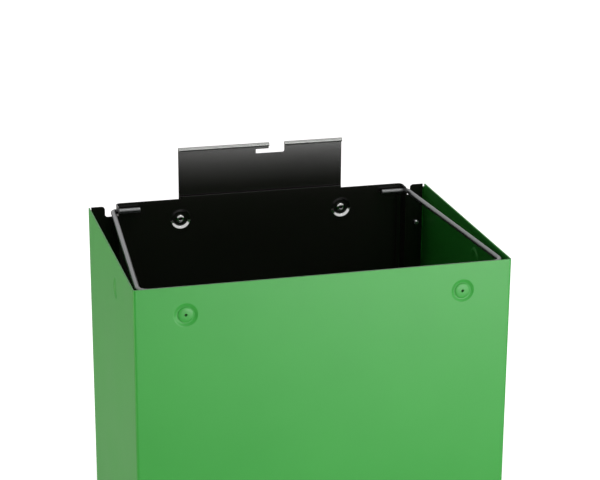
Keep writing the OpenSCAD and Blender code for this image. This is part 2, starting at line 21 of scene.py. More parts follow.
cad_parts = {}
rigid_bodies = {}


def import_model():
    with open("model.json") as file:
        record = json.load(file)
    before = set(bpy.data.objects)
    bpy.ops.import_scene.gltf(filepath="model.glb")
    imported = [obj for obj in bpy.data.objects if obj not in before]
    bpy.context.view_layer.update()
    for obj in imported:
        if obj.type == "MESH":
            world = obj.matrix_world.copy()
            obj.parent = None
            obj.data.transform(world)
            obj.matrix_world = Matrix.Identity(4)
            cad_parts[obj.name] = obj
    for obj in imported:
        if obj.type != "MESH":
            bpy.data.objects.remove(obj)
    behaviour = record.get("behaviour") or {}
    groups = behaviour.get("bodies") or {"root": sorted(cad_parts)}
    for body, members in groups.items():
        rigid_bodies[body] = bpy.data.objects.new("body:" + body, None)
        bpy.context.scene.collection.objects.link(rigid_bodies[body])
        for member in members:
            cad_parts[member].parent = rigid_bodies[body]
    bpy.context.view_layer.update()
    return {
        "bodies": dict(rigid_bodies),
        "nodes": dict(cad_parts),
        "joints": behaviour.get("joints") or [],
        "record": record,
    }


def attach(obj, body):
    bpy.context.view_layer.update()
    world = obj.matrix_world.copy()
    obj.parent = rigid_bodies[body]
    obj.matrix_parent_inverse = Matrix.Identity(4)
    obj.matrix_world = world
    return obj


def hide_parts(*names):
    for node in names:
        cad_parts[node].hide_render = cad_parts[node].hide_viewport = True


MM = 0.001
LATHE_STEPS = 48
SMOOTH_DEG = 32.0
BEVEL_SAMPLES = 6
NOISE_LOW, NOISE_HIGH = 0.3, 0.7
WHOLE = (0.0, 1.0)
WHITE = "#FFFFFF"

log = logging.getLogger("bin")


def linear(hex_colour: str) -> tuple[float, float, float, float]:
    """Turns an sRGB hex colour such as "#4FA457" into linear light.

    Args:
        hex_colour: six hexadecimal digits after a hash sign.

    Returns:
        Red, green and blue in linear light, and an alpha of one.
    """
    parts = [int(hex_colour[i : i + 2], 16) / 255 for i in (1, 3, 5)]
    light = [p / 12.92 if p <= 0.04045 else ((p + 0.055) / 1.055) ** 2.4 for p in parts]
    return (light[0], light[1], light[2], 1.0)


def add_node(tree: NodeTree, kind: str, feeds: dict | None = None, **settings: object) -> Node:
    """Adds a node with its settings, and fills or links its inputs.

    Args:
        tree: the node tree that gets the node.
        kind: the node's type name.
        feeds: input name or number, to a value or to the output socket that feeds it.
        settings: properties of the node, set before its inputs.

    Returns:
        The new node.
    """
    node = tree.nodes.new(kind)
    for name, value in settings.items():
        setattr(node, name, value)
    for key, value in (feeds or {}).items():
        if isinstance(key, int):
            socket = node.inputs[key]
        else:
            socket = next(s for s in node.inputs if s.name == key and s.enabled)
        if isinstance(value, NodeSocket):
            tree.links.new(value, socket)
        else:
            socket.default_value = value
    return node


def output_of(
    tree: NodeTree, kind: str, feeds: dict | None = None, **settings: object
) -> NodeSocket:
    """Adds a node as add_node does, and returns the first output that it has in use."""
    return next(s for s in add_node(tree, kind, feeds, **settings).outputs if s.enabled)


def blank(owner: Material | World) -> NodeTree:
    """Gives a material or a world an empty node tree.

    Args:
        owner: the material or world.

    Returns:
        Its tree.
    """
    owner.use_nodes = True
    owner.node_tree.nodes.clear()
    return owner.node_tree


@dataclass(frozen=True)
class Finish:
    """What every finish shares: two shades, a range of gloss, a relief and soft edges."""

    name: str  # the material's name
    deep: str  # hex colour of the deeper shade
    pale: str  # hex colour of the paler shade
    gloss: tuple[float, float]  # lowest and highest roughness
    relief_mm: float = 0.01  # depth of the relief
    edge_mm: float = 0.0  # radius that the edges are seen to have, or nought for none
    metallic: float = 1.0  # one for bare metal, nought for a coat or rubber

    def start(self) -> tuple[NodeTree, NodeSocket]:
        """Starts the material.

        Returns:
            Its empty tree, and the piece's own coordinates in metres.
        """
        tree = blank(bpy.data.materials.new(self.name))
        return tree, add_node(tree, "ShaderNodeTexCoord").outputs["Object"]

    def mottle(
        self,
        tree: NodeTree,
        where: NodeSocket,
        size: float,
        detail: float,
        *ranges: tuple[float, float],
    ) -> list[NodeSocket]:
        """Mottles the surface with noise, and spreads the noise over ranges.

        Args:
            tree: the material's tree.
            where: coordinates of the noise.
            size: size of one blotch, in the unit of the coordinates.
            detail: octaves of finer noise.
            ranges: what the noise's low and high ends become, for each use of it.

        Returns:
            The noise around a half, and its value in each range.
        """
        feeds = {"Vector": where, "Scale": 1 / size, "Detail": detail}
        noise = output_of(tree, "ShaderNodeTexNoise", feeds)
        values = [noise]
        for low, high in ranges:
            feeds = {"Value": noise, 1: NOISE_LOW, 2: NOISE_HIGH, 3: low, 4: high}
            values.append(output_of(tree, "ShaderNodeMapRange", feeds))
        return values

    def end(
        self, tree: NodeTree, shade: NodeSocket, gloss: NodeSocket, height: NodeSocket
    ) -> Node:
        """Ends the material with its shader.

        Args:
            tree: the material's tree.
            shade: nought for the deep colour, one for the pale one.
            gloss: roughness.
            height: height of the relief, between nought and one.

        Returns:
            The Principled shader, wired to the output.
        """
        feeds = {"Factor": shade, "A": linear(self.deep), "B": linear(self.pale)}
        colour = output_of(tree, "ShaderNodeMix", feeds, data_type="RGBA")
        feeds = {"Height": height, "Strength": 1.0, "Distance": self.relief_mm * MM}
        if self.edge_mm:
            edge = {"Radius": self.edge_mm * MM}
            feeds["Normal"] = output_of(tree, "ShaderNodeBevel", edge, samples=BEVEL_SAMPLES)
        normal = output_of(tree, "ShaderNodeBump", feeds)
        feeds = {"Base Color": colour, "Roughness": gloss, "Normal": normal}
        shader = add_node(tree, "ShaderNodeBsdfPrincipled", feeds | {"Metallic": self.metallic})
        add_node(tree, "ShaderNodeOutputMaterial", {"Surface": shader.outputs["BSDF"]})
        return shader


@dataclass(frozen=True)
class PowderCoat(Finish):
    """Polyester powder baked on steel: an even colour, a satin gloss and a shallow orange peel.

    The real peel has crests 1 to 2 mm apart. It is drawn a little coarser so that it
    shows as a softness in the highlights.
    """

    relief_mm: float = 0.012
    edge_mm: float = 0.45
    metallic: float = 0.0
    peel_mm: float = 3.0  # distance between the peel's crests
    drift_mm: float = 90.0  # size of the slow changes in shade and gloss
    # Heights where the coat is plain and where bare steel paints a highlight on it, if it has one.
    highlight_z_mm: tuple[float, float] | None = None
    highlight_colour: str = "#8F908E"  # hex colour of the bare steel
    highlight_gloss: float = 0.4  # roughness of the bare steel

    def make(self) -> None:
        """Makes the material."""
        tree, where = self.start()
        size = self.drift_mm * MM
        _, shade, gloss = self.mottle(tree, where, size, 2.0, WHOLE, self.gloss)
        (peel,) = self.mottle(tree, where, self.peel_mm * MM, 1.0)
        shader = self.end(tree, shade, gloss, peel)
        if self.highlight_z_mm:
            self.paint_highlight(tree, where, shader)

    def paint_highlight(self, tree: NodeTree, where: NodeSocket, shader: Node) -> None:
        """Paints a highlight as bare steel, from one height to another.

        Args:
            tree: the material's tree.
            where: coordinates in metres.
            shader: the coat's shader, with its colour and gloss already linked.
        """
        height = add_node(tree, "ShaderNodeSeparateXYZ", {"Vector": where}).outputs["Z"]
        coated, highlit = self.highlight_z_mm
        feeds = {"Value": height, 1: coated * MM, 2: highlit * MM}
        share = output_of(tree, "ShaderNodeMapRange", feeds, interpolation_type="SMOOTHSTEP")
        tree.links.new(share, shader.inputs["Metallic"])
        steel = {"Base Color": ("RGBA", linear(self.highlight_colour)), "Roughness": ("FLOAT", self.highlight_gloss)}
        for name, (kind, value) in steel.items():
            socket = shader.inputs[name]
            feeds = {"Factor": share, "A": socket.links[0].from_socket, "B": value}
            tree.links.new(output_of(tree, "ShaderNodeMix", feeds, data_type=kind), socket)


@dataclass(frozen=True)
class ZincWire(Finish):
    """Drawn steel wire, zinc plated: bright, with fine lines along the wire.

    It reads the wire's own grain attribute: place round the wire in x and y, and length
    along it in z, all in millimetres. Real lines are finer than 0.1 mm. They are drawn
    0.5 mm wide, so that they show.
    """

    line_mm: float = 0.5  # width of a line
    line_length_mm: float = 40.0  # length of a line

    def make(self) -> None:
        """Makes the material."""
        tree = blank(bpy.data.materials.new(self.name))
        grain = add_node(tree, "ShaderNodeAttribute", attribute_name="grain").outputs["Vector"]
        stretch = (1 / self.line_mm, 1 / self.line_mm, 1 / self.line_length_mm)
        where = output_of(tree, "ShaderNodeMapping", {"Vector": grain, "Scale": stretch})
        lines, shade, gloss = self.mottle(tree, where, 1.0, 3.0, WHOLE, self.gloss)
        self.end(tree, shade, gloss, lines)


@dataclass(frozen=True)
class SmallMetal(Finish):
    """Small plated or plain metal pieces: bright, and cloudy where they lay together."""

    edge_mm: float = 0.12
    cloud_mm: float = 2.5  # size of the cloudy spots

    def make(self) -> None:
        """Makes the material."""
        tree, where = self.start()
        size = self.cloud_mm * MM
        cloud, shade, gloss = self.mottle(tree, where, size, 3.0, WHOLE, self.gloss)
        self.end(tree, shade, gloss, cloud)


@dataclass(frozen=True)
class Galvanised(Finish):
    """Hot-dip galvanised sheet: grey zinc with a spangle of flat crystals."""

    relief_mm: float = 0.03
    edge_mm: float = 0.3
    spangle_mm: float = 9.0  # size of a crystal
    haze_mm: float = 30.0  # size of the slow waves in the zinc

    def make(self) -> None:
        """Makes the material."""
        tree, where = self.start()
        feeds = {"Vector": where, "Scale": 1 / (self.spangle_mm * MM)}
        cells = add_node(tree, "ShaderNodeTexVoronoi", feeds).outputs["Color"]
        shade = output_of(tree, "ShaderNodeSeparateColor", {"Color": cells})
        low, high = self.gloss
        gloss = output_of(tree, "ShaderNodeMapRange", {"Value": shade, 3: low, 4: high})
        (haze,) = self.mottle(tree, where, self.haze_mm * MM, 4.0)
        self.end(tree, shade, gloss, haze)


@dataclass(frozen=True)
class MouldedRubber(Finish):
    """Black rubber moulded in an eroded tool: matt, with a fine grain and a grey bloom."""

    relief_mm: float = 0.05
    edge_mm: float = 0.4
    metallic: float = 0.0
    grain_mm: float = 0.8  # size of the grain
    bloom_mm: float = 12.0  # size of the bloom's patches

    def make(self) -> None:
        """Makes the material."""
        tree, where = self.start()
        _, bloom = self.mottle(tree, where, self.bloom_mm * MM, 4.0, WHOLE)
        grain, gloss = self.mottle(tree, where, self.grain_mm * MM, 2.0, self.gloss)
        self.end(tree, bloom, gloss, grain)


class Coat(Enum):
    """The finishes of the bin's pieces."""

    # The shell's even green and the sheets' near black, with a soft sheen.
    GREEN = PowderCoat("green_powder_coat", "#2A9A32", "#2E9D35", (0.39, 0.42))
    BLACK = PowderCoat("black_powder_coat", "#1B1A18", "#1E1D1B", (0.24, 0.25))
    # The latch tab's roll, with a painted highlight along its top: dull bare steel where the light
    # catches it.
    BLACK_ROLL_PAINTED_HIGHLIGHT = replace(BLACK, name="black_powder_coat_roll_painted_highlight", highlight_z_mm=(662.2, 663.0))
    # The rings in the recesses, with painted highlights: bare bright steel below the screws'
    # middle, where crescents of light fall.
    BLACK_DISH_PAINTED_HIGHLIGHT = replace(
        BLACK,
        name="black_powder_coat_dish_painted_highlight",
        highlight_z_mm=(577.8, 575.8),
        highlight_colour="#C6C7C5",
        highlight_gloss=0.15,
    )
    # Grey and lined where it was drawn, paler and cloudy where it was plated loose.
    WIRE = ZincWire("zinc_plated_wire", "#666868", "#808181", (0.26, 0.4))
    PLATED = SmallMetal("zinc_plated_steel", "#A3A5A6", "#C4C5C5", (0.24, 0.42))
    BRIGHT = SmallMetal("bright_zinc_plate", "#B2B3B1", "#C4C4C2", (0.14, 0.2))
    ALUMINIUM = SmallMetal("plain_aluminium", "#B9BABB", "#D2D3D4", (0.24, 0.42), cloud_mm=1.5)
    # Steel torn off without any plating: dark and dull.
    MANDREL = SmallMetal("broken_steel_mandrel", "#3A3A3A", "#5A5955", (0.45, 0.6), cloud_mm=0.8)
    # The pan's grey crystals and the feet's dull black.
    GALVANISED = Galvanised("galvanised_sheet", "#8B8E90", "#A9ACAE", (0.34, 0.52))
    RUBBER = MouldedRubber("moulded_rubber", "#161616", "#232322", (0.62, 0.8))

    @property
    def material(self) -> Material:
        """Finds the finish's material, and makes it the first time.

        Returns:
            The material.
        """
        if self.value.name not in bpy.data.materials:
            self.value.make()
        return bpy.data.materials[self.value.name]


@dataclass(frozen=True)
class Ring:
    """One ring of a turned or milled form."""

    radius: float  # radius in millimetres
    height: float  # place along the axis
    sides: int = 0  # number of flats that cut the ring, or nought for a round one
    flats: float = 0.0  # distance across those flats

    @classmethod
    def hexagon(cls, flats: float, height: float) -> "Ring":
        """Returns a whole hexagon, its corners inside the radius."""
        return cls(flats, height, 6, flats)

    def point(self, angle: float) -> tuple[float, float, float]:
        """Finds a point of the ring's edge.

        Args:
            angle: its angle round the axis.

        Returns:
            The point in metres.
        """
        reach = self.radius
        if self.sides:
            step = 2 * math.pi / self.sides
            off = (angle + step / 2) % step - step / 2
            reach = min(self.radius, self.flats / 2 / math.cos(off))
        reach *= MM
        return (reach * math.cos(angle), reach * math.sin(angle), self.height * MM)


def turned(name: str, rings: list[Ring]) -> Mesh:
    """Joins rings into one closed skin round the Z axis.

    Args:
        name: the mesh's name.
        rings: the rings in order along the skin. A ring of no radius is a point that
            closes the skin, and where the first ring isn't one, the last joins the first.

    Returns:
        The mesh, smooth but for its edges.
    """
    form = bmesh.new()
    angles = [2 * math.pi * i / LATHE_STEPS for i in range(LATHE_STEPS)]
    loops = []
    for ring in rings:
        stops = angles if ring.radius else angles[:1]
        loops.append([form.verts.new(ring.point(angle)) for angle in stops])
    pairs = list(zip(loops, loops[1:]))
    if len(loops[0]) > 1:
        pairs.append((loops[-1], loops[0]))
    for a, b in pairs:
        for i in range(LATHE_STEPS):
            j = (i + 1) % LATHE_STEPS
            quad = [a[i % len(a)], a[j % len(a)], b[j % len(b)], b[i % len(b)]]
            form.faces.new(list(dict.fromkeys(quad)))
    bmesh.ops.recalc_face_normals(form, faces=form.faces)
    mesh = bpy.data.meshes.new(name)
    form.to_mesh(mesh)
    form.free()
    soften(mesh)
    return mesh


def soften(mesh: Mesh) -> None:
    """Shades a mesh smooth but for its edges."""
    mesh.shade_smooth()
    mesh.set_sharp_from_angle(angle=math.radians(SMOOTH_DEG))


def stand(name: str, mesh: Mesh) -> Object:
    """Makes an object of a mesh at the origin.

    Args:
        name: the object's name.
        mesh: its mesh.

    Returns:
        The object, linked to the scene.
    """
    thing = bpy.data.objects.new(name, mesh)
    bpy.context.scene.collection.objects.link(thing)
    return thing


def discard(thing: Object) -> None:
    """Removes an object and its mesh.

    Args:
        thing: the object.
    """
    mesh = thing.data
    bpy.data.objects.remove(thing)
    bpy.data.meshes.remove(mesh)


def joined(name: str, meshes: list[Mesh], coat: Coat) -> Object:
    """Joins meshes into one piece of one finish.

    Args:
        name: the piece's name.
        meshes: what it is made of, removed once joined.
        coat: its finish.

    Returns:
        The piece.
    """
    form = bmesh.new()
    for mesh in meshes:
        form.from_mesh(mesh)
        bpy.data.meshes.remove(mesh)
    for face in form.faces:
        face.material_index = 0
    whole = bpy.data.meshes.new(name)
    form.to_mesh(whole)
    form.free()
    whole.materials.append(coat.material)
    soften(whole)
    return stand(name, whole)


class Tree:
    """A Geometry Nodes tree with named inputs."""

    def __init__(self, name: str, inputs: dict[str, str]) -> None:
        """Starts the tree.

        Args:
            name: the tree's name.
            inputs: name of each input to its socket type, without the NodeSocket prefix.
        """
        self.tree = bpy.data.node_groups.new(name, "GeometryNodeTree")
        face = self.tree.interface
        face.new_socket("Geometry", in_out="OUTPUT", socket_type="NodeSocketGeometry")
        for label, kind in ({"Geometry": "Geometry"} | inputs).items():
            face.new_socket(label, in_out="INPUT", socket_type="NodeSocket" + kind)
        self.given = self.tree.nodes.new("NodeGroupInput").outputs

    def out(self, kind: str, feeds: dict | None = None, **settings: object) -> NodeSocket:
        """Adds a node to the tree and returns its output, as output_of does."""
        return output_of(self.tree, kind, feeds, **settings)

    def end(self, geometry: NodeSocket) -> None:
        """Realizes the geometry, gives it the tree's material and ends the tree.

        Args:
            geometry: what the tree has made.
        """
        real = self.out("GeometryNodeRealizeInstances", {"Geometry": geometry})
        feeds = {"Geometry": real, "Material": self.given["Material"]}
        dressed = self.out("GeometryNodeSetMaterial", feeds)
        add_node(self.tree, "NodeGroupOutput", {"Geometry": dressed})

    def grow(self, name: str, values: dict, base: Mesh | None = None) -> Mesh:
        """Runs the tree and keeps its result as a plain mesh.

        Args:
            name: the new mesh's name.
            values: input name to its value.
            base: the mesh that the tree starts from, or None for an empty one.

        Returns:
            The mesh.
        """
        seed = stand(name + "_base", base or bpy.data.meshes.new(name + "_base"))
        modifier = seed.modifiers.new("Grow", "NODES")
        modifier.node_group = self.tree
        for item in self.tree.interface.items_tree:
            if item.in_out == "INPUT" and item.name in values:
                modifier[item.identifier] = values[item.name]
        graph = bpy.context.evaluated_depsgraph_get()
        mesh = bpy.data.meshes.new_from_object(seed.evaluated_get(graph), depsgraph=graph)
        mesh.name = name
        seed.modifiers.remove(modifier)
        discard(seed)
        return mesh


class RowTree(Tree):
    """Stands copies of a part in a row, each facing one way and spun by chance."""

    def __init__(self) -> None:
        """Builds the tree."""
        inputs = {"Part": "Object", "Count": "Int", "Start": "Vector", "Step": "Vector"}
        inputs |= {"Facing": "Vector", "Spin": "Float", "Seed": "Int", "Material": "Material"}
        super().__init__("row_of_parts", inputs)
        given = self.given
        feeds = {"Count": given["Count"], "Start Location": given["Start"], "Offset": given["Step"]}
        line = self.out("GeometryNodeMeshLine", feeds, mode="OFFSET")
        part = add_node(self.tree, "GeometryNodeObjectInfo", {"Object": given["Part"]})
        feeds = {"Vector": given["Facing"]}
        turn = self.out("FunctionNodeAlignRotationToVector", feeds, axis="Z")
        feeds = {"Min": 0.0, "Max": given["Spin"], "Seed": given["Seed"]}
        angle = self.out("FunctionNodeRandomValue", feeds, data_type="FLOAT")
        feeds = {"Axis": (0.0, 0.0, 1.0), "Angle": angle}
        spin = self.out("FunctionNodeAxisAngleToRotation", feeds)
        feeds = {"Rotation": turn, "Rotate By": spin}
        facing = self.out("FunctionNodeRotateRotation", feeds, rotation_space="LOCAL")
        feeds = {"Points": line, "Instance": part.outputs["Geometry"], "Rotation": facing}
        self.end(self.out("GeometryNodeInstanceOnPoints", feeds))


class WireTree(Tree):
    """Sweeps round wire along a bent path and notes its grain."""

    def __init__(self) -> None:
        """Builds the tree."""
        inputs = {"Wire Radius": "Float", "Bend Steps": "Int", "Round Steps": "Int"}
        super().__init__("bent_wire", inputs | {"Material": "Material"})
        given = self.given
        kinds = {"bend": "FLOAT", "girth": "FLOAT", "run": "FLOAT", "around": "FLOAT_VECTOR"}
        read = {}
        for name, kind in kinds.items():
            feeds = {"Name": name}
            read[name] = self.out("GeometryNodeInputNamedAttribute", feeds, data_type=kind)
        path = self.out("GeometryNodeMeshToCurve", {"Mesh": given["Geometry"]})
        feeds = {"Curve": path, "Count": given["Bend Steps"], "Radius": read["bend"]}
        bent = self.out("GeometryNodeFilletCurve", feeds, mode="POLY")
        run = add_node(self.tree, "GeometryNodeSplineParameter").outputs["Length"]
        feeds = {"Geometry": bent, "Name": "run", "Value": run}
        marked = self.out("GeometryNodeStoreNamedAttribute", feeds, data_type="FLOAT")
        feeds = {"Curve": marked, "Radius": read["girth"]}
        sized = self.out("GeometryNodeSetCurveRadius", feeds)
        feeds = {"Resolution": given["Round Steps"], "Radius": given["Wire Radius"]}
        outline = self.out("GeometryNodeCurvePrimitiveCircle", feeds, mode="RADIUS")
        place = self.out("GeometryNodeInputPosition")
        feeds = {"Geometry": outline, "Name": "around", "Value": place}
        profile = self.out("GeometryNodeStoreNamedAttribute", feeds, data_type="FLOAT_VECTOR")
        feeds = {"Curve": sized, "Profile Curve": profile, "Fill Caps": True}
        swept = self.out("GeometryNodeCurveToMesh", feeds)
        split = add_node(self.tree, "ShaderNodeSeparateXYZ", {"Vector": read["around"]}).outputs
        feeds = {"X": split["X"], "Y": split["Y"], "Z": read["run"]}
        feeds = {0: self.out("ShaderNodeCombineXYZ", feeds), "Scale": 1 / MM}
        grain = self.out("ShaderNodeVectorMath", feeds, operation="SCALE")
        feeds = {"Geometry": swept, "Name": "grain", "Value": grain}
        self.end(self.out("GeometryNodeStoreNamedAttribute", feeds, data_type="FLOAT_VECTOR"))


class ThreadTree(Tree):
    """Winds a pointed ridge into a screw thread round the Z axis."""

    def __init__(self) -> None:
        """Builds the tree."""
        inputs = dict.fromkeys(("Root Radius", "Height", "Turns", "Ridge"), "Float")
        super().__init__("screw_thread", inputs | {"Material": "Material"})
        given = self.given
        steps_a_turn, ridge_sides = 24, 3
        feeds = {
            "Resolution": steps_a_turn,
            "Rotations": given["Turns"],
            "Start Radius": given["Root Radius"],
            "End Radius": given["Root Radius"],
            "Height": given["Height"],
        }
        coil = self.out("GeometryNodeCurveSpiral", feeds)
        feeds = {"Resolution": ridge_sides, "Radius": given["Ridge"]}
        ridge = self.out("GeometryNodeCurvePrimitiveCircle", feeds, mode="RADIUS")
        feeds = {"Curve": coil, "Profile Curve": ridge, "Fill Caps": True}
        self.end(self.out("GeometryNodeCurveToMesh", feeds))


@dataclass(frozen=True)
class Row:
    """Where a row of one part stands."""

    start: tuple[float, float, float]  # the first copy's place in millimetres
    facing: tuple[float, float, float]  # the way each copy's Z axis points
    step: tuple[float, float, float]  # from one copy to the next
    count: int  # number of copies
    seed: int = 1  # seed of the copies' chance spin


@dataclass(frozen=True)
class Shank:
    """The threaded shank of a screw, from nought down."""

    neck: float  # radius under the head
    plain: float  # length of the neck, without thread
    root: float  # radius between the thread's ridges
    thread: float  # outside radius of the thread
    pitch: float  # height of one turn
    length: float  # length of the whole shank
    tip: float  # radius of its end
    point: float = 0.4  # height of the chamfer at its end
    runout: float = 0.5  # length without thread at its end
    cone: float = 0.4  # height from the neck to the root
    lead: float = 0.6  # length without thread below the neck

    def rings(self) -> list[Ring]:
        """Lists the shank's rings.

        Returns:
            The rings from the head down to the middle of the end.
        """
        neck = [Ring(self.neck, 0), Ring(self.neck, -self.plain)]
        core = [Ring(self.root, -self.plain - self.cone), Ring(self.root, self.point - self.length)]
        return neck + core + [Ring(self.tip, -self.length), Ring(0, -self.length)]


@dataclass(frozen=True)
class BlindRivet:
    """A blind rivet, its head towards +Z and the sheets it grips below nought."""

    shank: float  # diameter of the shank
    head: float  # diameter of the head
    dome: float  # height of the head
    grip: float  # thickness of what it holds together
    hole: float  # diameter of the hole that the mandrel came through
    snapped: float = 0.0  # how much deeper than usual the mandrel broke off
    rim: float = 0.22  # thickness of the head's edge, as a share of the dome
    bulge: float = 1.55  # width of the blind side, in shank diameters
    reach: float = 0.9  # length of the blind side, in shank diameters

    def body(self) -> Mesh:
        """Turns the rivet's body, hollow where the mandrel broke off.

        Returns:
            The body's mesh.
        """
        bore, edge, core = self.hole / 2, self.head / 2, self.shank / 2
        lip = bore + 0.35
        bulb = self.shank * self.bulge / 2
        tail = -self.grip - self.shank * self.reach
        belly = tail * 0.6 - self.grip * 0.4
        rings = [Ring(0, -self.grip), Ring(bore, -self.grip)]
        rings += [Ring(bore, self.dome * 0.86), Ring(bore + 0.15, self.dome)]
        for degrees in range(15, 91, 15):
            a = math.radians(degrees)
            high = self.dome * (self.rim + (1 - self.rim) * math.cos(a))
            rings.append(Ring(lip + (edge - lip) * math.sin(a), high))
        rings += [Ring(edge, 0), Ring(core, 0), Ring(core, -self.grip)]
        rings += [Ring(bulb, -self.grip - 0.25), Ring(bulb, belly)]
        return turned("rivet", rings + [Ring(bulb * 0.62, tail), Ring(0, tail)])

    def mandrel(self) -> Mesh:
        """Turns the stub of the mandrel inside the rivet, with its rough broken end.

        Returns:
            The stub's mesh.
        """
        r = self.hole / 2 - 0.05
        top, foot = self.dome * 0.35 - self.snapped, -self.grip * 0.9
        broken = [Ring(0, top - 0.25), Ring(r * 0.4, top - 0.1), Ring(r * 0.7, top)]
        return turned("mandrel", broken + [Ring(r, top - 0.2), Ring(r, foot), Ring(0, foot)])


def settle(piece: Object, body: str, slot: str, *nodes: str) -> None:
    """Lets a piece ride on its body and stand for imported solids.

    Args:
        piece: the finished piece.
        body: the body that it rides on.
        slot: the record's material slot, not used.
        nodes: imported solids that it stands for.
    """
    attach(piece, body)
    if nodes:
        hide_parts(*nodes)
    faces, stood_for = len(piece.data.polygons), ", ".join(nodes) or "no solid"
    log.info("made %s of %d faces, standing for %s", piece.name, faces, stood_for)


@dataclass
class Workshop:
    """What the sub-assemblies share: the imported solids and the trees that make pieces."""

    frame: dict
    rows: RowTree = field(default_factory=RowTree)  # stands parts in rows
    wire: WireTree = field(default_factory=WireTree)  # sweeps bent wire
    thread: ThreadTree = field(default_factory=ThreadTree)  # winds screw threads

    def dress(self, coats: dict[str, Coat]) -> None:
        """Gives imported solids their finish.

        Args:
            coats: node name to its finish.
        """
        for name, coat in coats.items():
            materials = self.frame["nodes"][name].data.materials
            materials.clear()
            materials.append(coat.material)
            log.info("dressed %s in %s", name, coat.value.name)

    def fit(
        self,
        name: str,
        part: Mesh,
        rows: list[Row],
        coat: Coat,
        slot: str,
        *nodes: str,
        spin_deg: float = 0.0,
    ) -> None:
        """Makes one piece of rows of a part, and fits it to the bin.

        Args:
            name: the piece's name.
            part: the part, its Z axis pointing the way it faces, removed afterwards.
            rows: where the copies stand.
            coat: the piece's finish.
            slot: the record's material slot.
            nodes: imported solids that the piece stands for.
            spin_deg: the largest chance spin about the part's own axis.
        """
        model = stand(name + "_part", part)
        meshes = []
        for row in rows:
            values = {
                "Part": model,
                "Count": row.count,
                "Start": [v * MM for v in row.start],
                "Step": [v * MM for v in row.step],
                "Facing": row.facing,
                "Spin": math.radians(spin_deg),
                "Seed": row.seed,
                "Material": coat.material,
            }
            meshes.append(self.rows.grow(name, values))
        discard(model)
        settle(joined(name, meshes, coat), "bin", slot, *nodes)

    def screw(self, name: str, head: list[Ring], shank: Shank) -> Mesh:
        """Turns a screw and winds its thread.

        Args:
            name: the screw's name.
            head: rings of its head, from the middle of the top to the underside's edge.
            shank: its shank.

        Returns:
            The screw's mesh, its head towards +Z and seated on nought.
        """
        low, high = shank.runout - shank.length, -shank.plain - shank.lead
        ridge = shank.pitch * 0.5
        values = {
            "Root Radius": (shank.thread - ridge) * MM,
            "Height": (high - low) * MM,
            "Turns": (high - low) / shank.pitch,
            "Ridge": ridge * MM,
            "Material": Coat.PLATED.material,
        }
        coil = self.thread.grow("thread", values)
        coil.transform(Matrix.Translation((0, 0, low * MM)))
        screw = turned(name, head + shank.rings())
        form = bmesh.new()
        form.from_mesh(screw)
        form.from_mesh(coil)
        form.to_mesh(screw)
        form.free()
        bpy.data.meshes.remove(coil)
        return screw


@dataclass
class Assembly:
    """A sub-assembly of the bin, which has its pieces made in the workshop."""

    shop: Workshop


@dataclass
class Body(Assembly):
    """The folded shell and the rear plate, with the rivets that join them."""

    back: float = 150.0  # where the rear flanges' outside lies
    # The rivets in the rear flanges.
    rivet: BlindRivet = BlindRivet(shank=4.0, head=8.0, dome=1.3, grip=3.0, hole=2.6)
    rivet_x: float = 199.0  # distance of the rear rivets from the middle
    rivet_low: float = 70.0  # height of the lowest one
    rivet_step: float = 120.25  # distance from one to the next
    rivet_count: int = 5  # number of them in a column

    def build(self) -> None:
        """Dresses the sheets and makes the rear rivets."""
        # The rear plate's tab roll carries a painted highlight of bare steel along its top.
        self.shop.dress({"shell": Coat.GREEN, "rear_plate": Coat.BLACK_ROLL_PAINTED_HIGHLIGHT})
        rows = []
        for x in (-self.rivet_x, self.rivet_x):
            start, step = (x, self.back, self.rivet_low), (0, 0, self.rivet_step)
            rows.append(Row(start, (0, 1, 0), step, self.rivet_count))
        nodes = ("rear_rivets_left", "rear_rivets_right")
        body, stub = self.rivet.body(), self.rivet.mandrel()
        self.shop.fit("rear_rivet_columns", body, rows, Coat.ALUMINIUM, "rivet_metal", *nodes)
        self.shop.fit("rear_mandrels", stub, rows, Coat.MANDREL, "zinc")


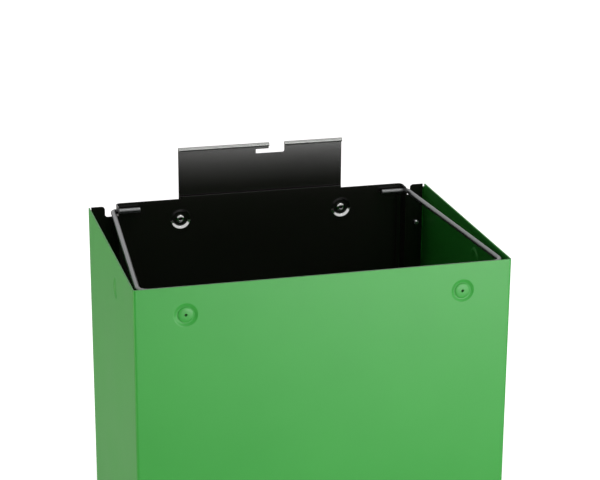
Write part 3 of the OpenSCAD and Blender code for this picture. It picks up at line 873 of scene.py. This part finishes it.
@dataclass
class Base(Assembly):
    """The base pan, its rivets, and the rubber feet with what holds them."""

    # The rivets round the pan.
    rivet: BlindRivet = BlindRivet(shank=4.0, head=8.0, dome=1.3, grip=3.2, hole=2.6)
    rivet_z: float = 28.5  # their height
    front: float = -150.0  # where the front wall's outside lies
    back: float = 148.5  # where the rear plate's back lies
    half_width: float = 210.0  # half the width across the side walls
    front_rivet_x: float = 148.3  # distance of the outer front and rear rivets from the middle
    side_rivet_y: tuple[float, float] = (-98.3, 96.8)  # places of the side rivets
    foot_x: float = 172.0  # distance of the feet from the middle, to the side
    foot_y: float = 112.0  # distance of the feet from the middle, to the front and rear
    foot_seed: int = 5  # seed of the fasteners' chance spin, between the left and right ones
    seat_z: float = 5.0  # height of the foot screws' seats
    pan_top: float = 11.5  # height of the pan's floor
    # Shank of the foot screws.
    shank: Shank = Shank(
        neck=2.4, plain=5.0, root=2.05, thread=2.5, pitch=0.8, length=12.5, tip=1.6, point=0.2
    )
    washer_h: float = 1.0  # thickness of the washers
    nut_w: float = 8.0  # width of the nuts across their flats
    nut_h: float = 4.0  # height of the nuts

    def rivet_rows(self) -> list[Row]:
        """Lists where the pan's rivets stand.

        Returns:
            A row in the front wall, in the rear plate and in each side wall.
        """
        x, z = self.front_rivet_x, self.rivet_z
        near, far = self.side_rivet_y
        rows = [
            Row((-x, self.front, z), (0, -1, 0), (x, 0, 0), 3),
            Row((-x, self.back, z), (0, 1, 0), (x, 0, 0), 3),
        ]
        for side in (-1, 1):
            start = (side * self.half_width, near, z)
            rows.append(Row(start, (side, 0, 0), (0, far - near, 0), 2))
        return rows

    def foot_rows(self, z: float, up: int) -> list[Row]:
        """Lists two rows of two over the feet.

        Args:
            z: their height.
            up: one to face up, minus one to face down.

        Returns:
            The left row and the right row.
        """
        rows = []
        for side in (-1, 1):
            start, step = (side * self.foot_x, -self.foot_y, z), (0, 2 * self.foot_y, 0)
            rows.append(Row(start, (0, 0, up), step, 2, self.foot_seed + side))
        return rows

    def screw(self) -> Mesh:
        """Makes a pan head screw with a cross recess, its head towards +Z.

        Returns:
            The screw's mesh.
        """
        cross = [Ring(0, 1.2), Ring(0.7, 1.6, 4, 1.0), Ring(2.4, 2.75, 4, 1.5)]
        pan = [Ring(2.6, 2.95), Ring(3.6, 2.8), Ring(4.4, 2.1), Ring(4.75, 1.0), Ring(4.75, 0)]
        return self.shop.screw("foot_screw", cross + pan, self.shank)

    def nut(self) -> Mesh:
        """Makes a hexagon nut with chamfered corners, standing on nought.

        Returns:
            The nut's mesh.
        """
        w, h, bore, chamfer = self.nut_w, self.nut_h, 2.56, 0.35
        corner = w / 2 / math.cos(math.pi / 6)
        rings = [Ring(bore, 0), Ring(corner - chamfer, 0, 6, w), Ring(corner, chamfer, 6, w)]
        rings += [Ring(corner, h - chamfer, 6, w), Ring(corner - chamfer, h, 6, w)]
        return turned("foot_nut", rings + [Ring(3.0, h), Ring(bore, h - 0.4)])

    def washer(self) -> Mesh:
        """Makes a stamped washer, standing on nought.

        Returns:
            The washer's mesh.
        """
        h, burr, roll = self.washer_h, 0.08, 0.15
        rings = [Ring(2.65, burr), Ring(2.75, 0), Ring(4.9, 0), Ring(5.0, roll)]
        rings += [Ring(5.0, h - roll), Ring(4.85, h), Ring(2.75, h), Ring(2.65, h - burr)]
        return turned("foot_washer", rings)

    def build(self) -> None:
        """Dresses the pan and feet and makes what fastens them."""
        ends = [f"foot_{end}_{side}" for end in ("front", "rear") for side in ("left", "right")]
        self.shop.dress({"base_pan": Coat.GALVANISED} | dict.fromkeys(ends, Coat.RUBBER))
        rows = self.rivet_rows()
        body, stub = self.rivet.body(), self.rivet.mandrel()
        self.shop.fit("pan_rivets", body, rows, Coat.ALUMINIUM, "rivet_metal", "base_rivets")
        self.shop.fit("pan_mandrels", stub, rows, Coat.MANDREL, "zinc")
        plated = (Coat.PLATED, "zinc")
        rows = self.foot_rows(self.seat_z, -1)
        self.shop.fit("foot_screw_set", self.screw(), rows, *plated, "foot_screws", spin_deg=90)
        rows = self.foot_rows(self.pan_top, 1)
        self.shop.fit("foot_washer_set", self.washer(), rows, *plated, "foot_washers", spin_deg=90)
        rows = self.foot_rows(self.pan_top + self.washer_h, 1)
        self.shop.fit("foot_nut_set", self.nut(), rows, *plated, "foot_nuts", spin_deg=60)


@dataclass
class Carrier(Assembly):
    """The black carrier panel, its button head screws and the weld nuts behind."""

    spacing: float = 200.0  # distance between the two screws
    screw_z: float = 579.0  # their height
    screw_seed: int = 3  # seed of their chance spin
    seat_y: float = 145.5  # where their heads seat, on the recess floors
    socket_w: float = 4.0  # width of their hexagon sockets across the flats
    socket_z: float = 0.6  # height of the sockets' floors over the seat
    # Shank of the screws.
    shank: Shank = Shank(
        neck=2.95, plain=2.8, root=2.5, thread=3.0, pitch=1.0, length=9.0, tip=2.1, runout=0.6
    )
    nut_y: float = 148.5  # where the nuts start, on the back of the rear plate
    nut_w: float = 10.0  # side of the square nuts
    nut_h: float = 5.0  # height of the nuts

    def row(self, y: float, facing: int) -> list[Row]:
        """Lists the row of two over the recesses.

        Args:
            y: place from front to back.
            facing: one to face the back, minus one to face the front.

        Returns:
            The row.
        """
        start, step = (-self.spacing / 2, y, self.screw_z), (self.spacing, 0, 0)
        return [Row(start, (0, facing, 0), step, 2, self.screw_seed)]

    def screw(self) -> Mesh:
        """Makes a button head screw with a hexagon socket, its head towards +Z.

        Returns:
            The screw's mesh.
        """
        w, z = self.socket_w, self.socket_z
        head = [Ring(0, z - 0.5), Ring(1.9, z, 6, w), Ring.hexagon(w, z), Ring.hexagon(w, 3.05)]
        mouth, edge, brim, crown = 2.55, 5.25, 0.45, 2.8
        head.append(Ring(mouth, 3.3))
        for degrees in (10, 25, 40, 55, 70, 82, 90):
            a = math.radians(degrees)
            out = mouth + (edge - mouth) * math.sin(a)
            head.append(Ring(out, brim + crown * math.cos(a) ** 0.9))
        head += [Ring(edge, 0.15), Ring(5.1, 0)]
        return self.shop.screw("carrier_screw", head, self.shank)

    def lining(self) -> Mesh:
        """Makes a thin hexagonal cup that lines a screw's socket; dressed in black, it darkens the
        socket.

        Returns:
            The lining's mesh.
        """
        low, wide, narrow = self.socket_z + 0.02, self.socket_w - 0.06, self.socket_w - 0.5
        inside = [Ring(0, 0.85), Ring.hexagon(narrow, 0.95), Ring.hexagon(narrow, 2.9)]
        outside = [Ring.hexagon(wide, 3.0), Ring.hexagon(wide, low), Ring(0, low)]
        return turned("socket_lining", inside + outside)

    def nut(self) -> Mesh:
        """Makes a square weld nut with chamfered corners, standing on nought.

        Returns:
            The nut's mesh.
        """
        w, h, bore, chamfer = self.nut_w, self.nut_h, 3.06, 0.9
        far = w / 2 * math.sqrt(2)
        rings = [Ring(bore, 0), Ring(far, 0, 4, w), Ring(far, h - chamfer, 4, w)]
        rings += [Ring(far - chamfer, h, 4, w - 0.2), Ring(3.5, h), Ring(bore, h - 0.45)]
        return turned("weld_nut", rings)

    def ring(self) -> Mesh:
        """Makes the coated ring that is pressed into a recess, its floor side at nought.

        Returns:
            The ring's mesh.
        """
        seen = [Ring(9.1, 0.6), Ring(9.3, 0.75), Ring(11.4, 2.42), Ring(11.75, 2.63)]
        seen += [Ring(12.0, 2.71), Ring(12.2, 2.72), Ring(12.35, 2.66), Ring(12.42, 2.56)]
        hidden = [Ring(12.3, 2.52), Ring(11.5, 2.2), Ring(9.6, 0.79), Ring(9.1, 0.42)]
        return turned("recess_ring", seen + hidden)

    def bead(self) -> Mesh:
        """Makes a tack of weld, a low dome standing on nought.

        Returns:
            The tack's mesh.
        """
        spread, high = 1.55, 1.05
        rings = [Ring(0, high)]
        for degrees in range(75, -1, -15):
            a = math.radians(degrees)
            rings.append(Ring(spread * math.cos(a), high * math.sin(a)))
        return turned("weld_bead", rings + [Ring(0, 0)])

    def bead_rows(self) -> list[Row]:
        """Lists where the weld tacks lie.

        Returns:
            A row of two at each of two sides of each nut.
        """
        off, rise = self.nut_w / 2 + 0.3, 2.6
        rows = []
        for middle in (-self.spacing / 2, self.spacing / 2):
            for x in (middle - off, middle + off):
                start = (x, self.nut_y, self.screw_z - rise)
                rows.append(Row(start, (0, 1, 0), (0, 0, 2 * rise), 2))
        return rows

    def build(self) -> None:
        """Dresses the panel and makes its fastenings."""
        self.shop.dress({"carrier_panel": Coat.BLACK})
        rows = self.row(self.seat_y, -1)
        finish, black = (Coat.BRIGHT, "zinc"), "black_paint"
        self.shop.fit(
            "carrier_screw_set", self.screw(), rows, *finish, "carrier_screws", spin_deg=60
        )
        self.shop.fit("socket_linings", self.lining(), rows, Coat.BLACK, black)
        # The rings' lower halves are bright bare steel, a painted highlight.
        self.shop.fit("recess_ring_pair", self.ring(), rows, Coat.BLACK_DISH_PAINTED_HIGHLIGHT, black)
        rows = self.row(self.nut_y, 1)
        self.shop.fit("carrier_nut_set", self.nut(), rows, Coat.BLACK, black, "carrier_nuts")
        self.shop.fit("weld_tacks", self.bead(), self.bead_rows(), Coat.BLACK, black)


@dataclass
class HoopRests(Assembly):
    """The angles that the hoop lies on, and the broad rivets sunk in the front dimples."""

    # The broad rivets.
    rivet: BlindRivet = BlindRivet(
        shank=4.8, head=17.5, dome=1.4, grip=3.0, hole=3.0, snapped=2.4
    )
    rivet_x: float = 154.0  # their distance from the middle
    seat_y: float = -148.6  # where their heads seat
    rivet_z: float = 568.0  # their height

    def build(self) -> None:
        """Dresses the angles and makes their rivets."""
        self.shop.dress({"hoop_rest_left": Coat.GREEN, "hoop_rest_right": Coat.GREEN})
        start, step = (-self.rivet_x, self.seat_y, self.rivet_z), (2 * self.rivet_x, 0, 0)
        rows = [Row(start, (0, -1, 0), step, 2)]
        body, stub = self.rivet.body(), self.rivet.mandrel()
        self.shop.fit("rest_rivet_pair", body, rows, Coat.GREEN, "green_paint", "rest_rivets")
        self.shop.fit("rest_mandrels", stub, rows, Coat.MANDREL, "zinc")


@dataclass
class BagHoop(Assembly):
    """The wire hoop, laid from its hinge to its rests."""

    wire: float = 6.0  # diameter of the wire
    end_x: float = 150.3  # distance of the wire's ends from the middle
    rear_x: float = 182.6  # distance of the rear bends' corners from the middle
    front_x: float = 202.8  # distance of the front bends' corners from the middle
    hinge: tuple[float, float] = (136.3, 596.5)  # y and z of the hinge line
    front: tuple[float, float] = (-143.0, 595.0)  # y and z of the front run
    rear_bend: float = 4.5  # radius of the rear bends at the wire's middle
    front_bend: float = 12.0  # radius of the front bends
    burr: float = 0.6  # length of the chamfer at the wire's cut ends
    burr_girth: float = 0.8  # share of the wire's girth that is left at its cut ends
    bend_steps: int = 16  # number of points in a bend
    round_steps: int = 32  # number of points round the wire

    def path(self) -> Mesh:
        """Draws the wire's path.

        Returns:
            The path as a line, with the bend and girth at each of its points.
        """
        half = [
            (self.end_x, *self.hinge, 0.0, self.burr_girth),
            (self.end_x + self.burr, *self.hinge, 0.0, 1.0),
            (self.rear_x, *self.hinge, self.rear_bend, 1.0),
            (self.front_x, *self.front, self.front_bend, 1.0),
        ]
        stops = [(-x, *others) for x, *others in half] + half[::-1]
        line = bpy.data.meshes.new("hoop_path")
        points = [(x * MM, y * MM, z * MM) for x, y, z, *_ in stops]
        line.from_pydata(points, [(i, i + 1) for i in range(len(points) - 1)], [])
        bends = line.attributes.new("bend", "FLOAT", "POINT").data
        bends.foreach_set("value", [bend * MM for *_, bend, _ in stops])
        girths = line.attributes.new("girth", "FLOAT", "POINT").data
        girths.foreach_set("value", [girth for *_, girth in stops])
        return line

    def build(self) -> None:
        """Sweeps the wire along its path."""
        values = {
            "Wire Radius": self.wire / 2 * MM,
            "Bend Steps": self.bend_steps,
            "Round Steps": self.round_steps,
            "Material": Coat.WIRE.material,
        }
        mesh = self.shop.wire.grow("hoop_wire", values, self.path())
        mesh.materials.clear()
        mesh.materials.append(Coat.WIRE.material)
        soften(mesh)
        settle(stand("hoop_wire", mesh), "hoop", "wire", "bag_hoop")


@dataclass(frozen=True)
class Softbox:
    """A rectangular studio lamp."""

    name: str  # the lamp's name
    place: tuple[float, float, float]  # where it stands, in metres
    aim: tuple[float, float, float]  # the point that it faces, in metres
    width: float  # width in metres
    height: float  # height in metres
    power: float  # power in watts
    colour: str = WHITE  # hex colour of its light
    mirrored: bool = True  # whether gloss and metal show it

    def light(self) -> None:
        """Makes the lamp."""
        data = bpy.data.lights.new(self.name, "AREA")
        data.shape = "RECTANGLE"
        data.size, data.size_y, data.energy = self.width, self.height, self.power
        data.color = linear(self.colour)[:3]
        lamp = bpy.data.objects.new(self.name, data)
        way = Vector(self.aim) - Vector(self.place)
        turn = way.to_track_quat("-Z", "Y").to_matrix().to_4x4()
        lamp.matrix_world = Matrix.Translation(self.place) @ turn
        lamp.visible_glossy = self.mirrored
        bpy.context.scene.collection.objects.link(lamp)


@dataclass
class Studio:
    """The camera, the pale floor, the world and the lamps."""

    # Where the camera stands, in millimetres.
    camera_place: tuple[float, float, float] = (-517.15, -1959.65, 1264.70)
    yaw: float = 0.2628  # angle of the view to the right of +Y
    pitch: float = 0.3211  # angle of the view below level
    roll: float = 0.0059  # turn of the picture about the view
    focal_px: float = 1871.33  # focal length in pixels of the picture
    picture_px: float = 600.0  # width of the picture in pixels
    sensor: float = 36.0  # width of the camera's sensor in millimetres
    sight: float = 100.0  # how far the camera sees, in metres
    floor_half: float = 20.0  # half the floor's side, in metres
    floor_paint: str = "#F7F7F7"  # hex colour of the floor
    ambient: float = 0.12  # strength of the world
    ambient_colour: str = "#FFF6EC"  # hex colour of the world where it isn't seen
    # Distances in metres at which the floor starts to glow more, and at which it glows fully.
    shadow_zone: tuple[float, float] = (0.35, 0.95)
    shadow_glow: float = 0.5  # glow of the floor under the object
    floor_mirrored: float = 0.15  # share of the floor's glow that reflections show
    sky_mirrored: float = 1.0  # share of the white sky that reflections show
    # The softboxes. The top one is kept out of reflections, and the small one overhead lights
    # the short ends of the hoop.
    lamps: tuple[Softbox, ...] = (
        Softbox("key_softbox", (1.15, -1.9, 0.33), (0.0, -0.15, 0.45), 1.3, 0.62, 14.4),
        Softbox("strip_softbox", (0.56, -2.1, 0.36), (0.0, 0.0, 0.5), 0.9, 0.28, 12.4),
        Softbox("left_softbox", (-2.4, 0.0, 0.4), (0.0, 0.0, 0.4), 1.6, 0.6, 28.5, "#FFF1E2"),
        Softbox("top_softbox", (1.75, -2.4, 3.2), (0.0, 0.0, 0.6), 4.0, 3.2, 34.0, mirrored=False),
        Softbox("overhead_softbox", (0.55, -0.75, 3.2), (0.0, 0.0, 0.6), 0.9, 0.7, 9.0),
    )

    def look(self) -> None:
        """Makes the camera and points it as the photograph was taken."""
        level = math.cos(self.pitch)
        across, ahead = math.sin(self.yaw), math.cos(self.yaw)
        forward = Vector((across * level, ahead * level, -math.sin(self.pitch)))
        right = Vector((ahead, -across, 0.0))
        up = right.cross(forward)
        tilted = math.cos(self.roll) * right + math.sin(self.roll) * up
        upright = -math.sin(self.roll) * right + math.cos(self.roll) * up
        turn = Matrix((tilted, upright, -forward)).transposed().to_4x4()
        data = bpy.data.cameras.new("camera")
        data.sensor_width = self.sensor
        data.lens = self.focal_px * self.sensor / self.picture_px
        data.clip_end = self.sight
        camera = bpy.data.objects.new("camera", data)
        camera.matrix_world = Matrix.Translation(Vector(self.camera_place) * MM) @ turn
        bpy.context.scene.collection.objects.link(camera)
        bpy.context.scene.camera = camera

    def seen(self, tree: NodeTree, mirrored: float) -> NodeSocket:
        """Tells what looks from what lights.

        Args:
            tree: the material's or world's tree.
            mirrored: share of the white that a reflection shows.

        Returns:
            One for the camera, that share for a reflection, and nought for light.
        """
        path = add_node(tree, "ShaderNodeLightPath").outputs
        value = path["Is Glossy Ray"]
        steps = (
            ("MAXIMUM", path["Is Transmission Ray"]),
            ("MULTIPLY", mirrored),
            ("MAXIMUM", path["Is Camera Ray"]),
        )
        for operation, other in steps:
            value = output_of(tree, "ShaderNodeMath", {0: value, 1: other}, operation=operation)
        return value

    def floor(self) -> None:
        """Lays the pale floor, white to the eye but for the shadow on it."""
        form = bmesh.new()
        bmesh.ops.create_grid(form, x_segments=1, y_segments=1, size=self.floor_half)
        mesh = bpy.data.meshes.new("floor")
        form.to_mesh(mesh)
        form.free()
        material = bpy.data.materials.new("matt_white_floor")
        tree = blank(material)
        paint = output_of(tree, "ShaderNodeBsdfDiffuse", {"Color": linear(self.floor_paint)})
        where = add_node(tree, "ShaderNodeTexCoord").outputs["Object"]
        away = output_of(tree, "ShaderNodeVectorMath", {0: where}, operation="LENGTH")
        near, far = self.shadow_zone
        feeds = {"Value": away, 1: near, 2: far, 3: self.shadow_glow, 4: 1.0}
        spread = output_of(tree, "ShaderNodeMapRange", feeds, interpolation_type="SMOOTHSTEP")
        glow = output_of(tree, "ShaderNodeEmission", {"Color": linear(WHITE), "Strength": spread})
        lit = output_of(tree, "ShaderNodeAddShader", {0: paint, 1: glow})
        feeds = {"Fac": self.seen(tree, self.floor_mirrored), 1: paint, 2: lit}
        mixed = output_of(tree, "ShaderNodeMixShader", feeds)
        add_node(tree, "ShaderNodeOutputMaterial", {"Surface": mixed})
        mesh.materials.append(material)
        stand("floor", mesh)

    def world(self) -> None:
        """Makes the world: white to the eye and a soft light on the object."""
        world = bpy.data.worlds.new("studio")
        bpy.context.scene.world = world
        tree = blank(world)
        feeds = {"Color": linear(self.ambient_colour), "Strength": self.ambient}
        dim = output_of(tree, "ShaderNodeBackground", feeds)
        white = output_of(tree, "ShaderNodeBackground", {"Color": linear(WHITE)})
        feeds = {"Fac": self.seen(tree, self.sky_mirrored), 1: dim, 2: white}
        sky = output_of(tree, "ShaderNodeMixShader", feeds)
        add_node(tree, "ShaderNodeOutputWorld", {"Surface": sky})

    def build(self) -> None:
        """Builds the studio."""
        bpy.context.scene.view_settings.view_transform = "Standard"
        self.look()
        self.floor()
        self.world()
        for lamp in self.lamps:
            lamp.light()


def main() -> None:
    """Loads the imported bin, dresses it and sets up the studio."""
    logging.basicConfig(level=logging.INFO, format="%(name)s: %(message)s")
    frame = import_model()
    shop = Workshop(frame)
    for assembly in (Body, Base, Carrier, HoopRests, BagHoop):
        assembly(shop).build()
        log.info("finished %s", assembly.__name__)
    Studio().build()


if __name__ == "__main__":
    main()
